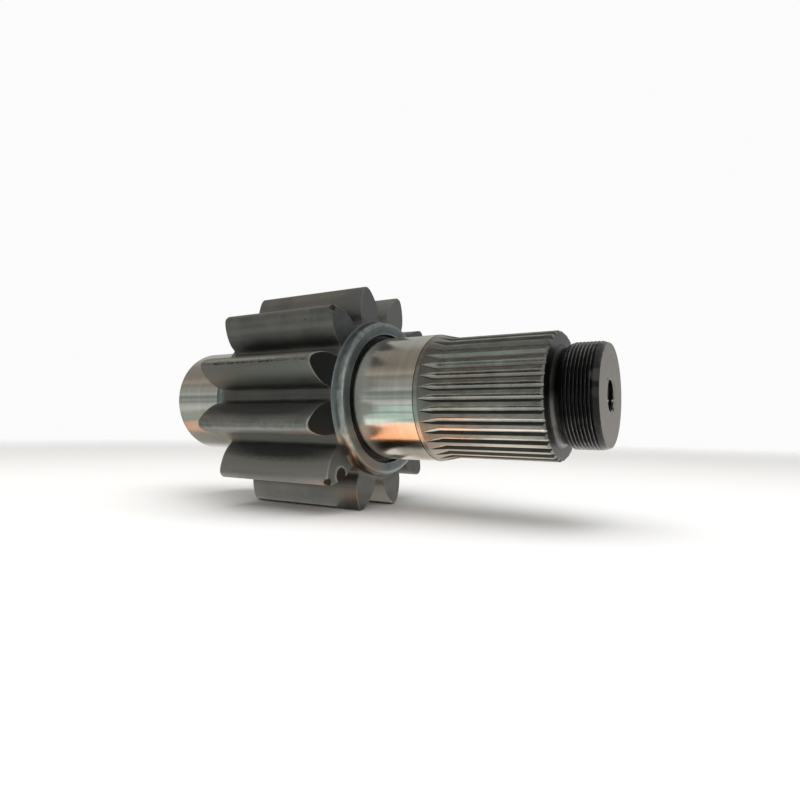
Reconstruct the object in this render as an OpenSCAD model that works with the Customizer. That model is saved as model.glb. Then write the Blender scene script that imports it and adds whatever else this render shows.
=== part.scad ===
// Pinion shaft: a steel shaft forged and machined in one piece, with a coarse
// spur pinion, two ground bearing seats, a splined length and a threaded end.
// It is drawn as three lengths that join face to face: the rear seat, the
// pinion with its collars, and the front shaft.
// The shaft lies along X with the threaded end at +X. The origin is on its
// axis, in the plane of the shoulder that the front bearing seats against.

/* [Shaft] */
// Distance from the shoulder to the threaded end face
front_len = 145; // [142:1:160]
// Distance from the shoulder to the rear end face
rear_len = 167.5; // [160:0.5:190]
// Diameter of the front bearing seat
front_seat_d = 80; // [79:0.5:82]
// Diameter of the rear bearing seat
rear_seat_d = 75; // [68:1:80]
// Break on the edge of the rear end
rear_chamfer = 1.5; // [0.5:0.5:3]

/* [Collars] */
// Outer diameter of the shoulder face in front of the pinion
shoulder_d = 97; // [95:0.5:99]
// Length of the front collar, from the pinion to the shoulder face
front_collar_len = 6.5; // [6.5:0.5:12]
// Largest diameter of the front and rear collars
collar_d = 102.2; // [101:0.2:103]
// Distance from the pinion to the start of the rear relief radius
relief_start = 25.7; // [24:0.1:30]
// Radius of the relief between the rear seat and the rear collar
relief_r = 20.7; // [18:0.1:21.5]

/* [Pinion] */
// Number of teeth
teeth = 12; // [12:1:13]
// Module, the pitch diameter over the number of teeth (2.5 diametral pitch)
tooth_module = 10.16; // [10:0.02:10.2]
// Pressure angle in degrees
pressure_angle = 20; // [18:1:22]
// Profile shift as a part of the module
profile_shift = 0.45; // [0.4:0.01:0.5]
// Depth of the teeth below the pitch circle, as a part of the module
dedendum = 1.25; // [1.2:0.01:1.3]
// Diameter over the tooth tips
tip_d = 150; // [146:0.5:151]
// Width of the toothed face
face_width = 92; // [70:1:96]
// Rounding of the tooth tips
tip_round = 2; // [1:0.25:2]
// Bevel on both ends of the tooth tips
end_bevel = 1; // [0.5:0.25:2]

/* [Spline] */
// Number of spline teeth
spline_teeth = 36; // [30:1:37]
// Outside diameter of the spline
spline_d = 74.6; // [74:0.2:75]
// Root diameter of the spline
spline_root_d = 70.6; // [70:0.2:71.4]
// Width of a groove at its root
groove_w = 1.74; // [1.4:0.02:1.9]
// Angle of each groove flank from the groove's centre plane
groove_flank = 32.4; // [25:0.2:34]
// Distance from the shoulder to the end of the front bearing seat
seat_end = 42.5; // [41:0.5:43]
// Distance from the shoulder to the end of the spline
spline_end = 118.5; // [105:0.5:120]

/* [Threaded end] */
// Outside diameter of the lock-nut thread, left plain here
thread_d = 60; // [58:0.5:64]
// Diameter of the undercut between spline and thread
neck_d = 54.4; // [50:0.2:55]
// Depth of the bevel that leads onto the thread
thread_bevel = 1.3; // [1:0.1:3]
// Length of the bevel that leads onto the thread
thread_lead = 4; // [1:0.5:6]
// Diameter of the tapped centre hole
hole_d = 17.3; // [12:0.1:22]
// Depth of the tapped centre hole
hole_depth = 40; // [30:1:60]
// Width of the bevel round the mouth of the hole
hole_bevel = 1.25; // [0.5:0.25:2]

/* [Hidden] */
$fn = 96;
over = 2;                         // how far a cutter runs past the metal

rear_seat_r = rear_seat_d / 2;
front_seat_r = front_seat_d / 2;
collar_r = collar_d / 2;
shoulder_r = shoulder_d / 2;
spline_r = spline_d / 2;
spline_root_r = spline_root_d / 2;
thread_r = thread_d / 2;
neck_r = neck_d / 2;

pinion_front = -front_collar_len;
pinion_rear = pinion_front - face_width;
pitch_r = tooth_module * teeth / 2;
base_r = pitch_r * cos(pressure_angle);
root_r = pitch_r + tooth_module * (profile_shift - dedendum);
tip_r = tip_d / 2;
form_r = base_r + 0.6;            // lowest point of the involute flank
pitch_angle = 360 / teeth;

// Fillets where the tooth ends meet the collars
rear_fillet = 2.4;
front_fillet = 2.8;
front_round_h = collar_r - shoulder_r;

// Relief groove cut into the shoulder face round the front bearing seat
recess_outer_r = front_seat_r + 2.8;
recess_depth = 3.2;
recess_round = 1.2;

// Hairline groove where the grinding of the front seat stops
stop_groove = 0.35;

// Run-out of the spline: the surface falls away in a slight cone from the seat,
// and the grooves rise through it on a steeper slope
run_start = seat_end + 1.3;
run_end = seat_end + 12.5;
cone_end = run_end - 0.7;
groove_h = spline_r - spline_root_r + 0.4;
spline_bevel = 1.2;
groove_phase = 3.8;

neck_end = spline_end + 4.1;
neck_round = 1.4;
thread_start = neck_end + thread_r - neck_r;

rear_centre_r = 6.6;
rear_centre_drill_r = 3;
rear_centre_depth = 13;

function polar(r, a) = [r * cos(a), r * sin(a)];
function degrees_of(x) = x * 180 / PI;
function inv(a) = degrees_of(tan(a)) - a;
function bezier(a, b, c, t) = (1 - t) * (1 - t) * a + 2 * t * (1 - t) * b + t * t * c;
// Points of a fillet or round in the (radius, x) plane
function arc(cr, cx, r, from, to, n = 6) =
    [for (i = [0:n]) let (a = from + (to - from) * i / n) [cr + r * cos(a), cx + r * sin(a)]];

// Half the tooth's angle at radius r, from the involute
half_at_pitch = degrees_of((PI / 2 + 2 * profile_shift * tan(pressure_angle)) / teeth);
function half_tooth(r) = half_at_pitch + inv(pressure_angle) - inv(acos(base_r / r));

// Right-hand side of one tooth space, from its root to outside the blank.
// Angles count from the middle of the space.
flank_steps = 8;
tip_steps = 3;
root_steps = 4;
flank_end_r = tip_r - tip_round;
tip_corner = pitch_angle / 2 - half_tooth(tip_r);
tip_land = tip_corner + degrees_of(0.75 * tip_round / tip_r);
root_flat = 2.2;
root_corner = pitch_angle / 2 - half_tooth(form_r) - 0.4;
outer_r = tip_r + 10;

root_side = [for (i = [0:root_steps - 1])
    bezier(polar(root_r, root_flat), polar(root_r, root_corner),
           polar(form_r, pitch_angle / 2 - half_tooth(form_r)), i / root_steps)];
flank_side = [for (i = [0:flank_steps])
    let (r = form_r + (flank_end_r - form_r) * i / flank_steps)
    polar(r, pitch_angle / 2 - half_tooth(r))];
tip_side = [for (i = [1:tip_steps])
    bezier(polar(flank_end_r, pitch_angle / 2 - half_tooth(flank_end_r)),
           polar(tip_r, tip_corner), polar(tip_r, tip_land), i / tip_steps)];
tip_last = tip_side[tip_steps - 1];
tip_before = tip_side[tip_steps - 2];
tip_exit = tip_last + (tip_last - tip_before) * 2;
space_side = concat(root_side, flank_side, tip_side, [tip_exit, polar(outer_r, tip_land)]);
last_side = len(space_side) - 1;
space_outline = concat(space_side,
    [for (i = [last_side:-1:0]) [space_side[i][0], -space_side[i][1]]]);

// Half of the lengthwise sections, as (radius, x) points from rear to front.
// The three lengths meet face to face at the relief radius and at the foot of
// the front seat.
relief_angle = acos((rear_seat_r + relief_r - collar_r) / relief_r);
relief_x = pinion_rear - relief_start;

rear_section = [
    [0, -rear_len],
    [rear_seat_r - rear_chamfer, -rear_len],
    [rear_seat_r, -rear_len + rear_chamfer],
    [rear_seat_r, relief_x],
    [0, relief_x]];

pinion_section = concat(
    [[0, relief_x]],
    arc(rear_seat_r + relief_r, relief_x, relief_r, 180, 180 - relief_angle, 10),
    arc(collar_r + rear_fillet, pinion_rear - rear_fillet, rear_fillet, 180, 90, 4),
    [[tip_r - end_bevel, pinion_rear],
     [tip_r, pinion_rear + end_bevel],
     [tip_r, pinion_front - end_bevel],
     [tip_r - end_bevel, pinion_front]],
    arc(collar_r + front_fillet, pinion_front + front_fillet, front_fillet, 270, 180, 4),
    arc(collar_r - front_round_h, -front_round_h, front_round_h, 0, 90, 6),
    [[recess_outer_r, 0]],
    arc(recess_outer_r - recess_round - 0.4, recess_round - recess_depth, recess_round, 0, -90, 4),
    [[0, -recess_depth]]);

front_section = [
    [0, -recess_depth],
    [front_seat_r, -recess_depth],
    [front_seat_r, seat_end - stop_groove],
    [front_seat_r - stop_groove, seat_end],
    [front_seat_r - stop_groove / 2, seat_end + stop_groove],
    [spline_r, cone_end],
    [spline_r, spline_end - spline_bevel],
    [spline_r - spline_bevel, spline_end],
    [neck_r + neck_round, spline_end],
    [neck_r + 0.3 * neck_round, spline_end + 0.3 * neck_round],
    [neck_r, spline_end + neck_round],
    [neck_r, neck_end],
    [thread_r, thread_start],
    [thread_r, front_len - thread_lead],
    [thread_r - thread_bevel, front_len],
    [0, front_len]];

// Turns a shape drawn across Z into one across X
module along_x() {
    rotate([90, 0, 90]) children();
}

module turned(section) {
    along_x() rotate_extrude() polygon(section);
}

// Everything that the hob takes away between two teeth
module tooth_space() {
    along_x()
        translate([0, 0, pinion_rear - over])
            linear_extrude(face_width + front_fillet + 2 * over)
                polygon(space_outline);
}

// A spline groove's section, standing on its root and open above the surface
module groove_section() {
    top_w = groove_w + 2 * groove_h * tan(groove_flank);
    polygon([
        [0, -groove_w / 2],
        [groove_h, -top_w / 2],
        [groove_h, top_w / 2],
        [0, groove_w / 2]]);
}

// One groove: a straight length, and the slope on which the cutter leaves
module spline_groove() {
    rise = front_seat_r - spline_root_r;
    run = run_end - run_start;
    along_x() translate([spline_root_r, 0, run_end])
        linear_extrude(spline_end + over - run_end)
            groove_section();
    along_x() translate([spline_root_r, 0, run_end])
        rotate([0, -atan(rise / run), 0]) mirror([0, 0, 1])
            linear_extrude(norm([rise, run]) + over)
                groove_section();
}

module centre_hole() {
    drill_tip = hole_d / 2 * tan(30);
    along_x() rotate_extrude() polygon([
        [0, front_len - hole_depth - drill_tip],
        [hole_d / 2, front_len - hole_depth],
        [hole_d / 2, front_len - hole_bevel],
        [hole_d / 2 + hole_bevel + over, front_len + over],
        [0, front_len + over]]);
}

// The 60 degree centre that the shaft was ground on
module rear_centre() {
    cone_depth = (rear_centre_r - rear_centre_drill_r) / tan(30);
    along_x() rotate_extrude() polygon([
        [0, -rear_len - over],
        [rear_centre_r + over * tan(30), -rear_len - over],
        [rear_centre_drill_r, -rear_len + cone_depth],
        [rear_centre_drill_r, -rear_len + rear_centre_depth],
        [0, -rear_len + rear_centre_depth + rear_centre_drill_r * tan(30)]]);
}

module rear_journal() {
    color([0.62, 0.62, 0.60])
    difference() {
        turned(rear_section);
        rear_centre();
    }
}

module pinion() {
    color([0.36, 0.37, 0.37])
    difference() {
        turned(pinion_section);
        for (i = [0:teeth - 1]) rotate([i * pitch_angle, 0, 0]) tooth_space();
    }
}

module front_shaft() {
    color([0.55, 0.55, 0.53])
    difference() {
        turned(front_section);
        for (i = [0:spline_teeth - 1])
            rotate([groove_phase + i * 360 / spline_teeth, 0, 0]) spline_groove();
        centre_hole();
    }
}

rear_journal();
pinion();
front_shaft();
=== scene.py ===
import math

import bpy
import numpy as np
from mathutils import Matrix, Vector


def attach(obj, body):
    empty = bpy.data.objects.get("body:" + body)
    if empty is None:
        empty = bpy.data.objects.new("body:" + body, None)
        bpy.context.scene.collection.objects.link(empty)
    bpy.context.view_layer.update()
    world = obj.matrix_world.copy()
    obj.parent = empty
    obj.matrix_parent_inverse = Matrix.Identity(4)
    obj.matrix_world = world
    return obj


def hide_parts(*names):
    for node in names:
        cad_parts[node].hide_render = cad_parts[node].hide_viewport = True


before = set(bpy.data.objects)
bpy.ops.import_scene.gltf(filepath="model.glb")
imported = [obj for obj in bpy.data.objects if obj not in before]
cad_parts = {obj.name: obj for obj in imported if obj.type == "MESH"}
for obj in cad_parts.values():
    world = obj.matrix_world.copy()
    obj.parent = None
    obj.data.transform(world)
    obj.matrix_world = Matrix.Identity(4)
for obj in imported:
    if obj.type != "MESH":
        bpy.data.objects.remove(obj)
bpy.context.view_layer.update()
print("frame loaded:", sorted(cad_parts))

# The shaft's lengths are in millimetres, along X from the shoulder behind the front seat
mm = 0.001
fullTurn = 2 * math.pi


def addObject(name, data):
    made = bpy.data.objects.new(name, data)
    bpy.context.scene.collection.objects.link(made)
    return made


# The mesh is one shell of rings round the axis. Each face has the name of its finish. Each point
# has a wear value, from 0 on plain metal to 1 on an edge that is rubbed bright, which the
# finishes read as "edge".
shell = {"points": [], "edge": [], "faces": [], "finish": []}


def smooth(t):
    t = np.clip(t, 0.0, 1.0)
    return t * t * (3 - 2 * t)


def evenAngles(count):
    return np.arange(count) * fullTurn / count


def addRing(x, radius, angles, wear=0.0):
    # One closed ring of points round the shaft; x, radius and wear may be arrays
    x, radius, wear = (np.broadcast_to(v, angles.shape) for v in (x, radius, wear))
    first = len(shell["points"])
    ring = np.stack([x, radius * np.cos(angles), radius * np.sin(angles)], axis=1)
    shell["points"].extend(ring.tolist())
    shell["edge"].extend(wear.tolist())
    return {"first": first, "count": len(angles), "angles": angles}


def addFace(corners, finish):
    shell["faces"].append(corners)
    shell["finish"].append(finish)


def joinRings(a, b, finish):
    # finish is a name, or gives the name for each place round the ring
    if a["count"] == b["count"]:
        n = a["count"]
        for i in range(n):
            j = (i + 1) % n
            name = finish if isinstance(finish, str) else finish(i)
            addFace((a["first"] + i, a["first"] + j, b["first"] + j, b["first"] + i), name)
    else:
        stitchRings(a, b, finish)


def stitchRings(a, b, finish):
    # Triangles between two rings with different numbers of points
    na, nb = a["count"], b["count"]
    nextA = np.append(a["angles"], a["angles"][0] + fullTurn)
    nextB = np.append(b["angles"], b["angles"][0] + fullTurn)
    i = j = 0
    while i < na or j < nb:
        pa, pb = a["first"] + i % na, b["first"] + j % nb
        if j >= nb or (i < na and nextA[i + 1] <= nextB[j + 1]):
            addFace((pa, a["first"] + (i + 1) % na, pb), finish)
            i += 1
        else:
            addFace((pa, b["first"] + (j + 1) % nb, pb), finish)
            j += 1


def addTip(x, ring, finish, atStart):
    # Closes the shell with a fan onto the axis
    tip = len(shell["points"])
    shell["points"].append([x, 0.0, 0.0])
    shell["edge"].append(0.0)
    n = ring["count"]
    for i in range(n):
        here, there = ring["first"] + i, ring["first"] + (i + 1) % n
        addFace((tip, there, here) if atStart else (here, there, tip), finish)


def runPath(last, path, finish, angles):
    # Turns a list of (x, radius, wear) stations into rings joined to the last one
    for x, radius, wear in path:
        ring = addRing(x, radius, angles, wear)
        if last is not None:
            joinRings(last, ring, finish)
        last = ring
    return last


def placed(stations, x, radius=0.0):
    # Stations of a piece's own list, measured from x and from radius
    return [(x + along, radius + out, wear) for along, out, wear in stations]


def arcPath(cx, cr, r, start, end, steps, wear=0.0):
    # Points of a round in the lengthwise section; 0 degrees is straight outwards
    stations = []
    for k in range(steps + 1):
        a = math.radians(start + (end - start) * k / steps)
        stations.append((cx + r * math.sin(a), cr + r * math.cos(a), wear))
    return stations


# Rear seat, with a centre in its end face and the relief behind the pinion
rear = {
    "endX": -167.5, "seatR": 37.5, "chamfer": 1.5, "softHalf": 0.15, "softDrop": 0.1,
    "plain": 1.5, "facePlain": 1.0,
    "reliefX": -124.2, "reliefR": 20.7, "collarR": 51.1, "reliefSteps": 16, "reliefWear": 0.5,
    "centreR": 6.6, "centreSlope": 30, "centreEdge": [(0.35, -0.2, 0.4), (0, 0, 0.8)],
    "drillR": 3.0, "drillDeep": 13.0, "faceFrom": 6.0, "around": 192, "centreAround": 96,
    # Along X from the pinion's rear face, radius, wear
    "foot": [(-4.5, 51.25, 0.3), (-2.6, 51.2, 0), (-1.5, 51.4, 0), (-0.7, 51.8, 0)],
}


def makeRearEnd():
    s = rear
    end, seatR, c = s["endX"], s["seatR"], s["chamfer"]
    half, drop = s["softHalf"], s["softDrop"]
    small, wide = evenAngles(s["centreAround"]), evenAngles(s["around"])
    slope = math.tan(math.radians(s["centreSlope"]))
    bottomX = end + s["drillDeep"]
    coneX = end + (s["centreR"] - s["drillR"]) / slope
    last = runPath(None, [(bottomX, s["drillR"], 0)], "holeSteel", small)
    addTip(bottomX + s["drillR"] * slope, last, "holeSteel", True)
    path = [(coneX, s["drillR"], 0)] + placed(s["centreEdge"], end, s["centreR"])
    last = runPath(last, path, "rearFaceSteel", small)
    path = [(end, s["centreR"] + s["faceFrom"], 0), (end, seatR - c - s["facePlain"], 0),
            (end, seatR - c - half, 0.7)]
    last = runPath(last, path, "rearFaceSteel", wide)
    path = [(end + half, seatR - c + drop, 1.0), (end + c - half, seatR - drop, 0.8),
            (end + c + half, seatR, 0.6), (end + c + s["plain"], seatR, 0),
            (s["reliefX"] - s["plain"], seatR, 0), (s["reliefX"], seatR, 0)]
    last = runPath(last, path, "groundSteel", wide)
    r, steps = s["reliefR"], s["reliefSteps"]
    swing = math.degrees(math.acos((seatR + r - s["collarR"]) / r))
    path = []
    for k in range(1, steps + 1):
        a = math.radians(swing * k / steps)
        path.append((s["reliefX"] + r * math.sin(a), seatR + r * (1 - math.cos(a)),
                     s["reliefWear"] if k == steps else 0.0))
    last = runPath(last, path, "collarSteel", wide)
    face = pinion["rearX"]
    return runPath(last, placed(s["foot"], face) + [(face, pinion["footR"], 0)], "collarSteel", wide)


# Pinion with involute teeth; pressure, rootFlat and rootPull are in degrees
pinion = {
    "rearX": -98.5, "frontX": -6.5, "teeth": 12, "module": 10.16, "pressure": 20.0,
    "shift": 0.45, "dedendum": 1.25, "tipR": 74.95, "tipRound": 2.0, "tipLand": 0.75,
    "rootFlat": 2.2, "rootPull": 0.4, "formOver": 0.6, "rootSteps": 9, "flankSteps": 12, "tipSteps": 6,
    "flankWear": 0.08, "wornFrom": 0.6, "tipWear": (0.1, 0.45), "landWear": 0.2,
    "footR": 52.5, "endEdge": 0.75, "edgeSteps": 4, "rootShare": 0.35, "edgeRise": (58, 73),
    "cornerMore": 0.5, "cornerRise": (72, 75), "plain": 4.0, "faceInset": 0.5,
}


def toothSpaceSide():
    # One side of a tooth space: polar points from the middle of the root to the middle of the land
    s = pinion
    alpha = math.radians(s["pressure"])
    pitchR = s["module"] * s["teeth"] / 2
    baseR = pitchR * math.cos(alpha)
    rootR = pitchR + s["module"] * (s["shift"] - s["dedendum"])
    inv = lambda a: math.tan(a) - a
    half = (math.pi / 2 + 2 * s["shift"] * math.tan(alpha)) / s["teeth"]
    sideAt = lambda r: math.pi / s["teeth"] - (half + inv(alpha) - inv(math.acos(baseR / r)))
    polar = lambda r, a: np.array([r * math.cos(a), r * math.sin(a)])
    formR = baseR + s["formOver"]
    flankEnd = s["tipR"] - s["tipRound"]
    points, wear = [], []

    def bezier(p, q, r, steps, wearFrom, wearTo, skipFirst=False):
        for k in range(1 if skipFirst else 0, steps + 1):
            t = k / steps
            points.append((1 - t) ** 2 * p + 2 * t * (1 - t) * q + t * t * r)
            wear.append(wearFrom + (wearTo - wearFrom) * t)

    points.append(polar(rootR, 0))
    wear.append(0)
    bezier(polar(rootR, math.radians(s["rootFlat"])),
           polar(rootR, sideAt(formR) - math.radians(s["rootPull"])),
           polar(formR, sideAt(formR)), s["rootSteps"], 0, 0)
    for k in range(1, s["flankSteps"] + 1):
        share = k / s["flankSteps"]
        r = formR + (flankEnd - formR) * k / s["flankSteps"]
        points.append(polar(r, sideAt(r)))
        wear.append(s["flankWear"] * smooth(2 * (share - s["wornFrom"])))
    tip = sideAt(s["tipR"])
    bezier(points[-1], polar(s["tipR"], tip),
           polar(s["tipR"], tip + s["tipLand"] * s["tipRound"] / s["tipR"]),
           s["tipSteps"], *s["tipWear"], skipFirst=True)
    points.append(polar(s["tipR"], math.pi / s["teeth"]))
    wear.append(s["landWear"])
    return np.array(points), np.array(wear)


def gearOutline():
    # The whole gear's outline in order of angle, starting in the middle of a tooth space
    side, wear = toothSpaceSide()
    r = np.hypot(side[:, 0], side[:, 1])
    a = np.arctan2(side[:, 1], side[:, 0])
    n = pinion["teeth"]
    pitch = fullTurn / n
    r = np.concatenate([r, r[-2:0:-1]])
    a = np.concatenate([a, pitch - a[-2:0:-1]])
    wear = np.concatenate([wear, wear[-2:0:-1]])
    return np.concatenate([a + k * pitch for k in range(n)]), np.tile(r, n), np.tile(wear, n)


def insetOutline(angles, radius, depth):
    # Moves an outline inwards along its own normal
    p = np.stack([radius * np.cos(angles), radius * np.sin(angles)], axis=1)
    along = np.roll(p, -1, axis=0) - np.roll(p, 1, axis=0)
    along /= np.linalg.norm(along, axis=1)[:, None]
    q = p - depth[:, None] * np.stack([along[:, 1], -along[:, 0]], axis=1)
    a = np.unwrap(np.arctan2(q[:, 1], q[:, 0]))
    return a, np.hypot(q[:, 0], q[:, 1])


def riseOver(radius, span):
    # 0 below the span of radius and 1 above it
    return np.clip((radius - span[0]) / (span[1] - span[0]), 0, 1)


def makePinion(last):
    s = pinion
    angles, radius, wear = gearOutline()
    # The bevel of the end faces grows from the roots to the tips' corners
    share = s["rootShare"] + (1 - s["rootShare"]) * riseOver(radius, s["edgeRise"])
    edgeSize = s["endEdge"] * share + s["cornerMore"] * riseOver(radius, s["cornerRise"])
    bevels = []
    for x0, way in ((s["rearX"], 1), (s["frontX"], -1)):
        side = []
        for k in range(s["edgeSteps"] + 1):
            turn = math.radians(90 * k / s["edgeSteps"])
            a, r = insetOutline(angles, radius, edgeSize * (1 - math.sin(turn)))
            side.append((x0 + way * edgeSize * (1 - math.cos(turn)), r, a,
                         np.maximum(wear, share * math.sin(2 * turn))))
        bevels.append(side if way > 0 else side[::-1])
    middle = [(x, radius, angles, wear) for x in (s["rearX"] + s["plain"], s["frontX"] - s["plain"])]

    def faceRing(x):
        a, r = insetOutline(angles, radius, edgeSize + s["faceInset"])
        return x, r, a, 0.0

    stations = [faceRing(s["rearX"])] + bevels[0] + middle + bevels[1] + [faceRing(s["frontX"])]
    for k, (x, r, a, w) in enumerate(stations):
        ring = addRing(x, r, a, w)
        onFace = k < 2 or k == len(stations) - 1
        joinRings(last, ring, "toothEndSteel" if onFace else "toothSteel")
        last = ring
    return last


# Front collar, and the recess in its face round the seat
shoulder = {
    "collarR": 51.1, "faceR": 48.5, "roundSteps": 9, "roundWear": 0.35, "facePlain": 0.6,
    "recessR": 42.8, "recessDeep": 3.2, "recessFoot": 1.6, "around": 240,
    # Along X from the pinion's front face, radius, wear
    "foot": [(0.5, 51.9, 0), (1.2, 51.45, 0), (2.1, 51.15, 0), (3.0, 51.1, 0)],
    # Along X from the collar's face, out from the recess's radius, wear
    "recessEdge": [(0, 0.9, 0), (0, 0.3, 0.6), (-0.15, 0.05, 1.0), (-0.5, -0.1, 0.2)],
    "recessWall": [(-2.0, -0.4, 0), (-2.8, -0.75, 0)],
    # Along X from the recess's floor, out from the seat's radius, wear
    "recessFloor": [(0, 0.35, 0), (0.3, 0, 0)],
}


def makeShoulder(last):
    s = shoulder
    angles = evenAngles(s["around"])
    last = runPath(last, [(pinion["frontX"], pinion["footR"], 0)], "toothEndSteel", angles)
    roundR = s["collarR"] - s["faceR"]
    path = placed(s["foot"], pinion["frontX"])
    path += arcPath(-roundR, s["faceR"], roundR, 0, 90, s["roundSteps"], s["roundWear"])
    path += [(0, s["faceR"] - s["facePlain"], 0)] + placed(s["recessEdge"], 0, s["recessR"])
    last = runPath(last, path, "collarSteel", angles)
    # The recess takes the near-black thread finish: painted shade in the recess round the seat
    path = placed(s["recessWall"], 0, s["recessR"])
    path += [(-s["recessDeep"], s["recessR"] - s["recessFoot"], 0)]
    path += placed(s["recessFloor"], -s["recessDeep"], frontSeat["seatR"])
    return runPath(last, path, "blackThread", angles)


# Front seat, ending in a fine stop groove
frontSeat = {
    "startX": -2.2, "seatR": 40.0, "seatEnd": 42.5, "plain": 1.5, "lip": 0.2, "lipWear": 0.2,
    "stopDeep": 0.35, "stopFrom": -0.1, "stopTo": 0.12, "bandR": 39.85,
}


def makeFrontSeat(last):
    s = frontSeat
    angles = evenAngles(shoulder["around"])
    end, seatR, floorR = s["seatEnd"], s["seatR"], s["seatR"] - s["stopDeep"]
    path = [(s["startX"], seatR, 0), (end - s["plain"], seatR, 0), (end - s["lip"], seatR, s["lipWear"])]
    last = runPath(last, path, "groundSteel", angles)
    path = [(end + s["stopFrom"], floorR, 0), (end + s["stopTo"], floorR, 0),
            (end + s["lip"], s["bandR"], s["lipWear"])]
    return runPath(last, path, "holeSteel", angles)


# Spline, whose grooves run out on a cone in front of the seat; flank and phase are in degrees
spline = {
    "teeth": 36, "tipR": 37.3, "rootR": 35.3, "grooveW": 1.74, "flank": 32.4, "phase": 3.8,
    "fullFloorAt": 0.8, "leastFloor": 0.01, "softMost": 0.22, "softShare": 0.3,
    "bandAfter": 0.5, "bandCurve": 1.1, "runStart": 45.3, "runEnd": 55.0, "runCurve": 1.15,
    "runBefore": 0.8, "runAfter": 0.2, "runSteps": 26, "endX": 118.5, "endBevel": 1.2,
    "softHalf": 0.15, "softDrop": 0.12, "lip": 0.2, "plain": 1.0, "longPart": 30,
    "perTooth": 18, "floorFaces": 2, "shadedFaces": 5, "brightFaces": 5,
}


def splineRing(x, surfaceR, floorR, leastWear):
    # A ring whose points follow the grooves: floor, flanks, rounded corners, lands
    s = spline
    slope = math.tan(math.radians(s["flank"]))
    deep = max(0.0, surfaceR - floorR)
    opened = min(1.0, deep / (s["tipR"] - s["rootR"]))
    floorW = s["grooveW"] / 2 * min(1.0, opened / s["fullFloorAt"]) + s["leastFloor"]
    topW = floorW + deep * slope
    bottomR = surfaceR - deep
    pitchHalf = math.pi / s["teeth"]
    soft = min(s["softMost"], s["softShare"] * deep)
    sides = [  # across, radius, wear
        (0.0, bottomR, 0.0), (floorW * 0.75, bottomR, 0.0),
        (floorW + 0.12 * slope * deep, bottomR + 0.1 * deep, 0.0),
        (floorW + 0.5 * slope * deep, bottomR + 0.5 * deep, 0.1),
        (topW - soft * 0.8, surfaceR - soft * 1.05, 0.5), (topW - soft * 0.25, surfaceR - soft * 0.4, 0.9),
        (topW + soft * 0.35, surfaceR - soft * 0.08, 1.0), (topW + soft, surfaceR, 0.6)]
    rest = pitchHalf * surfaceR - topW - soft
    sides += [(topW + soft + rest * share, surfaceR, 0.25) for share in (0.4, 1.0)]
    across, high, wear = (np.array(column) for column in zip(*sides))
    # The angles have to rise, also where the groove isn't open yet
    a = across / surfaceR
    a = np.maximum.accumulate(a + np.arange(len(a)) * 1e-6)
    a = a / a[-1] * pitchHalf
    a = np.concatenate([a, 2 * pitchHalf - a[-2:0:-1]])
    high = np.concatenate([high, high[-2:0:-1]])
    wear = wear * opened
    wear = np.maximum(np.concatenate([wear, wear[-2:0:-1]]), leastWear)
    n = s["teeth"]
    angles = np.concatenate([a + k * 2 * pitchHalf for k in range(n)]) + math.radians(s["phase"])
    return addRing(x, np.tile(high, n), angles, np.tile(wear, n))


def splineFinish(i):
    # Round each tooth: half the floor, the lower flank in painted shade, the dull land, then the
    # bright flank with the other half of the floor
    s = spline
    place = i % s["perTooth"]
    if place < s["floorFaces"] or place >= s["perTooth"] - s["brightFaces"]:
        return "grooveSteel"
    return "darkFlank" if place < s["floorFaces"] + s["shadedFaces"] else "splineSteel"


def makeSpline(last):
    s = spline
    start, bandR = frontSeat["seatEnd"] + s["bandAfter"], frontSeat["bandR"]

    def surfaceAt(x):
        # A cone, a little hollow, from the band down to the spline's outside
        t = min(1.0, max(0.0, (x - start) / (s["runEnd"] - start)))
        return s["tipR"] + (bandR - s["tipR"]) * (1 - t) ** s["bandCurve"]

    def floorAt(x):
        # The round cutter leaves on a curve, steeper as it rises
        t = max(0.0, (s["runEnd"] - x) / (s["runEnd"] - s["runStart"]))
        return s["rootR"] + (surfaceAt(s["runStart"]) - s["rootR"]) * t ** s["runCurve"]

    ring = splineRing(start, bandR, bandR, 0)
    joinRings(last, ring, "bandSteel")
    last = ring
    runFrom = s["runStart"] - s["runBefore"]
    runLength = s["runEnd"] + s["runAfter"] - runFrom
    for k in range(s["runSteps"] + 1):
        x = runFrom + runLength * k / s["runSteps"]
        ring = splineRing(x, surfaceAt(x), min(floorAt(x), surfaceAt(x)), 0)
        joinRings(last, ring, splineFinish if x > s["runStart"] else "bandSteel")
        last = ring
    end, bevel = s["endX"], s["endBevel"]
    half, drop = s["softHalf"], s["softDrop"]
    for x, cut, wear in ((end - s["longPart"], 0, 0), (end - bevel - s["plain"], 0, 0),
                         (end - bevel - half, 0, 0.4), (end - bevel + half, drop, 0.9),
                         (end - s["lip"], bevel - drop, 0.7), (end, bevel, 0.5)):
        ring = splineRing(x, s["tipR"] - cut, s["rootR"], wear)
        joinRings(last, ring, splineFinish)
        last = ring
    return last


# Shares of half a pitch that are flat at a crest or root, and of the flank that is rounded
threadForm = {"flat": 0.12, "rounded": 0.25}


def helixRadius(x, angles, pitch, outer, deep, start):
    # Radius on a thread of about 60 degrees, and the share of its height: 0 at a root, 1 at a crest
    phase = ((x - start) / pitch - angles / fullTurn) % 1.0
    t = np.abs(phase - 0.5) * 2
    t = np.clip((t - threadForm["flat"]) / (1 - 2 * threadForm["flat"]), 0, 1)
    t = t * (1 - threadForm["rounded"]) + threadForm["rounded"] * smooth(t)
    return outer - deep * (1 - t), t


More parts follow.
